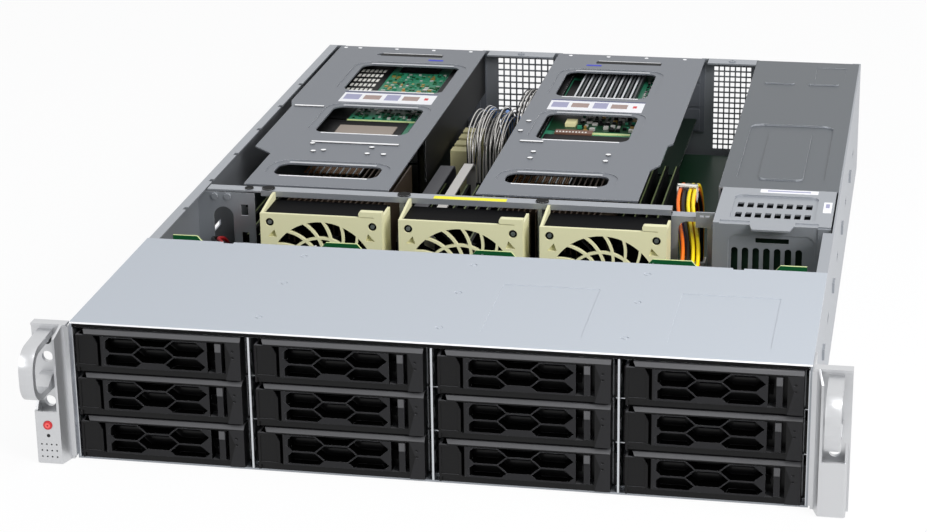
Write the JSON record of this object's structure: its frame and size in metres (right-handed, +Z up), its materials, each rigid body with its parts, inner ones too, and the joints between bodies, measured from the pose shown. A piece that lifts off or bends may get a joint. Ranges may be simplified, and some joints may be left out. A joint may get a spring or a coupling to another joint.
{
  "type": "rack server",
  "caption": "Two-unit rack server with front drive carriers, fan modules, lift-out risers and hot-plug power supplies, shown with its rear lid off.",
  "frame": {"origin": "centre of the chassis' bottom face", "axes": "+X to the right seen from the front, +Y to the rear, +Z up"},
  "size_m": [0.4826, 0.7103, 0.088],
  "materials": {
    "chassis_steel": "plain galvanised sheet",
    "cover_steel": "fine brushed sheet",
    "riser_steel": "plain galvanised sheet",
    "cage_steel": "plain galvanised sheet",
    "ear_aluminium": "satin anodised",
    "carrier_plastic": "fine grain",
    "lever_plastic": "fine grain",
    "button_plastic": "fine grain",
    "fan_plastic": "plain moulded",
    "rotor_plastic": "plain moulded",
    "board_green": "solder mask",
    "cable_plastic": "soft jacket",
    "red_plastic": "glossy",
    "supply_case": "plain sheet"
  },
  "bodies": {
    "chassis": {"chassis_tub": "chassis_steel", "rear_panel": "chassis_steel", "front_cover": "cover_steel", "drive_cage": "chassis_steel", "backplane": "board_green", "rack_ears": "ear_aluminium", "fan_wall": "chassis_steel", "main_board": "board_green", "psu_cage": "cage_steel", "cable_harness": "cable_plastic"},
    "power_button": {"power_button": "red_plastic"},
    "reset_button": {"reset_button": "button_plastic"},
    "riser_left": {"riser_left": "riser_steel"},
    "riser_right": {"riser_right": "riser_steel"},
    "fan_module_1": {"fan_module_1": "fan_plastic"},
    "fan_rotor_1": {"fan_rotor_1": "rotor_plastic"},
    "fan_module_2": {"fan_module_2": "fan_plastic"},
    "fan_rotor_2": {"fan_rotor_2": "rotor_plastic"},
    "fan_module_3": {"fan_module_3": "fan_plastic"},
    "fan_rotor_3": {"fan_rotor_3": "rotor_plastic"},
    "power_supply_1": {"power_supply_1": "supply_case"},
    "psu_latch_1": {"psu_latch_1": "button_plastic"},
    "power_supply_2": {"power_supply_2": "supply_case"},
    "psu_latch_2": {"psu_latch_2": "button_plastic"},
    "drive_carrier_01": {"drive_carrier_01": "carrier_plastic"},
    "carrier_lever_01": {"carrier_lever_01": "lever_plastic"},
    "release_button_01": {"release_button_01": "button_plastic"},
    "drive_carrier_02": {"drive_carrier_02": "carrier_plastic"},
    "carrier_lever_02": {"carrier_lever_02": "lever_plastic"},
    "release_button_02": {"release_button_02": "button_plastic"},
    "drive_carrier_03": {"drive_carrier_03": "carrier_plastic"},
    "carrier_lever_03": {"carrier_lever_03": "lever_plastic"},
    "release_button_03": {"release_button_03": "button_plastic"},
    "drive_carrier_04": {"drive_carrier_04": "carrier_plastic"},
    "carrier_lever_04": {"carrier_lever_04": "lever_plastic"},
    "release_button_04": {"release_button_04": "button_plastic"},
    "drive_carrier_05": {"drive_carrier_05": "carrier_plastic"},
    "carrier_lever_05": {"carrier_lever_05": "lever_plastic"},
    "release_button_05": {"release_button_05": "button_plastic"},
    "drive_carrier_06": {"drive_carrier_06": "carrier_plastic"},
    "carrier_lever_06": {"carrier_lever_06": "lever_plastic"},
    "release_button_06": {"release_button_06": "button_plastic"},
    "drive_carrier_07": {"drive_carrier_07": "carrier_plastic"},
    "carrier_lever_07": {"carrier_lever_07": "lever_plastic"},
    "release_button_07": {"release_button_07": "button_plastic"},
    "drive_carrier_08": {"drive_carrier_08": "carrier_plastic"},
    "carrier_lever_08": {"carrier_lever_08": "lever_plastic"},
    "release_button_08": {"release_button_08": "button_plastic"},
    "drive_carrier_09": {"drive_carrier_09": "carrier_plastic"},
    "carrier_lever_09": {"carrier_lever_09": "lever_plastic"},
    "release_button_09": {"release_button_09": "button_plastic"},
    "drive_carrier_10": {"drive_carrier_10": "carrier_plastic"},
    "carrier_lever_10": {"carrier_lever_10": "lever_plastic"},
    "release_button_10": {"release_button_10": "button_plastic"},
    "drive_carrier_11": {"drive_carrier_11": "carrier_plastic"},
    "carrier_lever_11": {"carrier_lever_11": "lever_plastic"},
    "release_button_11": {"release_button_11": "button_plastic"},
    "drive_carrier_12": {"drive_carrier_12": "carrier_plastic"},
    "carrier_lever_12": {"carrier_lever_12": "lever_plastic"},
    "release_button_12": {"release_button_12": "button_plastic"}
  },
  "joints": [
    {"name": "riser_left_lift", "type": "slide", "parent": "chassis", "child": "riser_left", "axis": [0, 0, 1], "range_m": [0, 0.1]},
    {"name": "riser_right_lift", "type": "slide", "parent": "chassis", "child": "riser_right", "axis": [0, 0, 1], "range_m": [0, 0.1]},
    {"name": "power_supply_1_draw", "type": "slide", "parent": "chassis", "child": "power_supply_1", "axis": [0, 1, 0], "range_m": [0, 0.2]},
    {"name": "psu_latch_1_turn", "type": "hinge", "parent": "power_supply_1", "child": "psu_latch_1", "pos_m": [0.2075, 0.3275, 0.0218], "axis": [0, 0, 1], "range_deg": [0, 10], "stiffness_Nm_per_rad": 0.4},
    {"name": "fan_module_1_lift", "type": "slide", "parent": "chassis", "child": "fan_module_1", "axis": [0, 0, 1], "range_m": [0, 0.09]},
    {"name": "fan_rotor_1_spin", "type": "hinge", "parent": "fan_module_1", "child": "fan_rotor_1", "pos_m": [-0.1218, -0.08, 0.0415], "axis": [0, 1, 0], "continuous": true},
    {"name": "drive_carrier_09_draw", "type": "slide", "parent": "chassis", "child": "drive_carrier_09", "axis": [0, -1, 0], "range_m": [0, 0.15]},
    {"name": "carrier_lever_09_swing", "type": "hinge", "parent": "drive_carrier_09", "child": "carrier_lever_09", "pos_m": [-0.19765, -0.324, 0.0709], "axis": [0, 0, -1], "range_deg": [0, 60]},
    {"name": "release_button_09_press", "type": "slide", "parent": "drive_carrier_09", "child": "release_button_09", "axis": [0, 1, 0], "range_m": [0, 0.0018], "stiffness_N_per_m": 300},
    {"name": "power_button_press", "type": "slide", "parent": "chassis", "child": "power_button", "axis": [0, 1, 0], "range_m": [0, 0.0012], "stiffness_N_per_m": 600},
    {"name": "reset_button_press", "type": "slide", "parent": "chassis", "child": "reset_button", "axis": [0, 1, 0], "range_m": [0, 0.0008], "stiffness_N_per_m": 600},
    {"name": "fan_module_2_lift", "type": "slide", "parent": "chassis", "child": "fan_module_2", "axis": [0, 0, 1], "range_m": [0, 0.09]},
    {"name": "fan_rotor_2_spin", "type": "hinge", "parent": "fan_module_2", "child": "fan_rotor_2", "pos_m": [-0.0266, -0.08, 0.0415], "axis": [0, 1, 0], "continuous": true},
    {"name": "fan_module_3_lift", "type": "slide", "parent": "chassis", "child": "fan_module_3", "axis": [0, 0, 1], "range_m": [0, 0.09]},
    {"name": "fan_rotor_3_spin", "type": "hinge", "parent": "fan_module_3", "child": "fan_rotor_3", "pos_m": [0.0686, -0.08, 0.0415], "axis": [0, 1, 0], "continuous": true},
    {"name": "power_supply_2_draw", "type": "slide", "parent": "chassis", "child": "power_supply_2", "axis": [0, 1, 0], "range_m": [0, 0.2]},
    {"name": "psu_latch_2_turn", "type": "hinge", "parent": "power_supply_2", "child": "psu_latch_2", "pos_m": [0.2075, 0.3275, 0.064], "axis": [0, 0, 1], "range_deg": [0, 10], "stiffness_Nm_per_rad": 0.4},
    {"name": "drive_carrier_01_draw", "type": "slide", "parent": "chassis", "child": "drive_carrier_01", "axis": [0, -1, 0], "range_m": [0, 0.15]},
    {"name": "carrier_lever_01_swing", "type": "hinge", "parent": "drive_carrier_01", "child": "carrier_lever_01", "pos_m": [-0.19765, -0.324, 0.0153], "axis": [0, 0, -1], "range_deg": [0, 60]},
    {"name": "release_button_01_press", "type": "slide", "parent": "drive_carrier_01", "child": "release_button_01", "axis": [0, 1, 0], "range_m": [0, 0.0018], "stiffness_N_per_m": 300},
    {"name": "drive_carrier_02_draw", "type": "slide", "parent": "chassis", "child": "drive_carrier_02", "axis": [0, -1, 0], "range_m": [0, 0.15]},
    {"name": "carrier_lever_02_swing", "type": "hinge", "parent": "drive_carrier_02", "child": "carrier_lever_02", "pos_m": [-0.0884, -0.324, 0.0153], "axis": [0, 0, -1], "range_deg": [0, 60]},
    {"name": "release_button_02_press", "type": "slide", "parent": "drive_carrier_02", "child": "release_button_02", "axis": [0, 1, 0], "range_m": [0, 0.0018], "stiffness_N_per_m": 300},
    {"name": "drive_carrier_03_draw", "type": "slide", "parent": "chassis", "child": "drive_carrier_03", "axis": [0, -1, 0], "range_m": [0, 0.15]},
    {"name": "carrier_lever_03_swing", "type": "hinge", "parent": "drive_carrier_03", "child": "carrier_lever_03", "pos_m": [0.02085, -0.324, 0.0153], "axis": [0, 0, -1], "range_deg": [0, 60]},
    {"name": "release_button_03_press", "type": "slide", "parent": "drive_carrier_03", "child": "release_button_03", "axis": [0, 1, 0], "range_m": [0, 0.0018], "stiffness_N_per_m": 300},
    {"name": "drive_carrier_04_draw", "type": "slide", "parent": "chassis", "child": "drive_carrier_04", "axis": [0, -1, 0], "range_m": [0, 0.15]},
    {"name": "carrier_lever_04_swing", "type": "hinge", "parent": "drive_carrier_04", "child": "carrier_lever_04", "pos_m": [0.1301, -0.324, 0.0153], "axis": [0, 0, -1], "range_deg": [0, 60]},
    {"name": "release_button_04_press", "type": "slide", "parent": "drive_carrier_04", "child": "release_button_04", "axis": [0, 1, 0], "range_m": [0, 0.0018], "stiffness_N_per_m": 300},
    {"name": "drive_carrier_05_draw", "type": "slide", "parent": "chassis", "child": "drive_carrier_05", "axis": [0, -1, 0], "range_m": [0, 0.15]},
    {"name": "carrier_lever_05_swing", "type": "hinge", "parent": "drive_carrier_05", "child": "carrier_lever_05", "pos_m": [-0.19765, -0.324, 0.0431], "axis": [0, 0, -1], "range_deg": [0, 60]},
    {"name": "release_button_05_press", "type": "slide", "parent": "drive_carrier_05", "child": "release_button_05", "axis": [0, 1, 0], "range_m": [0, 0.0018], "stiffness_N_per_m": 300},
    {"name": "drive_carrier_06_draw", "type": "slide", "parent": "chassis", "child": "drive_carrier_06", "axis": [0, -1, 0], "range_m": [0, 0.15]},
    {"name": "carrier_lever_06_swing", "type": "hinge", "parent": "drive_carrier_06", "child": "carrier_lever_06", "pos_m": [-0.0884, -0.324, 0.0431], "axis": [0, 0, -1], "range_deg": [0, 60]},
    {"name": "release_button_06_press", "type": "slide", "parent": "drive_carrier_06", "child": "release_button_06", "axis": [0, 1, 0], "range_m": [0, 0.0018], "stiffness_N_per_m": 300},
    {"name": "drive_carrier_07_draw", "type": "slide", "parent": "chassis", "child": "drive_carrier_07", "axis": [0, -1, 0], "range_m": [0, 0.15]},
    {"name": "carrier_lever_07_swing", "type": "hinge", "parent": "drive_carrier_07", "child": "carrier_lever_07", "pos_m": [0.02085, -0.324, 0.0431], "axis": [0, 0, -1], "range_deg": [0, 60]},
    {"name": "release_button_07_press", "type": "slide", "parent": "drive_carrier_07", "child": "release_button_07", "axis": [0, 1, 0], "range_m": [0, 0.0018], "stiffness_N_per_m": 300},
    {"name": "drive_carrier_08_draw", "type": "slide", "parent": "chassis", "child": "drive_carrier_08", "axis": [0, -1, 0], "range_m": [0, 0.15]},
    {"name": "carrier_lever_08_swing", "type": "hinge", "parent": "drive_carrier_08", "child": "carrier_lever_08", "pos_m": [0.1301, -0.324, 0.0431], "axis": [0, 0, -1], "range_deg": [0, 60]},
    {"name": "release_button_08_press", "type": "slide", "parent": "drive_carrier_08", "child": "release_button_08", "axis": [0, 1, 0], "range_m": [0, 0.0018], "stiffness_N_per_m": 300},
    {"name": "drive_carrier_10_draw", "type": "slide", "parent": "chassis", "child": "drive_carrier_10", "axis": [0, -1, 0], "range_m": [0, 0.15]},
    {"name": "carrier_lever_10_swing", "type": "hinge", "parent": "drive_carrier_10", "child": "carrier_lever_10", "pos_m": [-0.0884, -0.324, 0.0709], "axis": [0, 0, -1], "range_deg": [0, 60]},
    {"name": "release_button_10_press", "type": "slide", "parent": "drive_carrier_10", "child": "release_button_10", "axis": [0, 1, 0], "range_m": [0, 0.0018], "stiffness_N_per_m": 300},
    {"name": "drive_carrier_11_draw", "type": "slide", "parent": "chassis", "child": "drive_carrier_11", "axis": [0, -1, 0], "range_m": [0, 0.15]},
    {"name": "carrier_lever_11_swing", "type": "hinge", "parent": "drive_carrier_11", "child": "carrier_lever_11", "pos_m": [0.02085, -0.324, 0.0709], "axis": [0, 0, -1], "range_deg": [0, 60]},
    {"name": "release_button_11_press", "type": "slide", "parent": "drive_carrier_11", "child": "release_button_11", "axis": [0, 1, 0], "range_m": [0, 0.0018], "stiffness_N_per_m": 300},
    {"name": "drive_carrier_12_draw", "type": "slide", "parent": "chassis", "child": "drive_carrier_12", "axis": [0, -1, 0], "range_m": [0, 0.15]},
    {"name": "carrier_lever_12_swing", "type": "hinge", "parent": "drive_carrier_12", "child": "carrier_lever_12", "pos_m": [0.1301, -0.324, 0.0709], "axis": [0, 0, -1], "range_deg": [0, 60]},
    {"name": "release_button_12_press", "type": "slide", "parent": "drive_carrier_12", "child": "release_button_12", "axis": [0, 1, 0], "range_m": [0, 0.0018], "stiffness_N_per_m": 300}
  ]
}
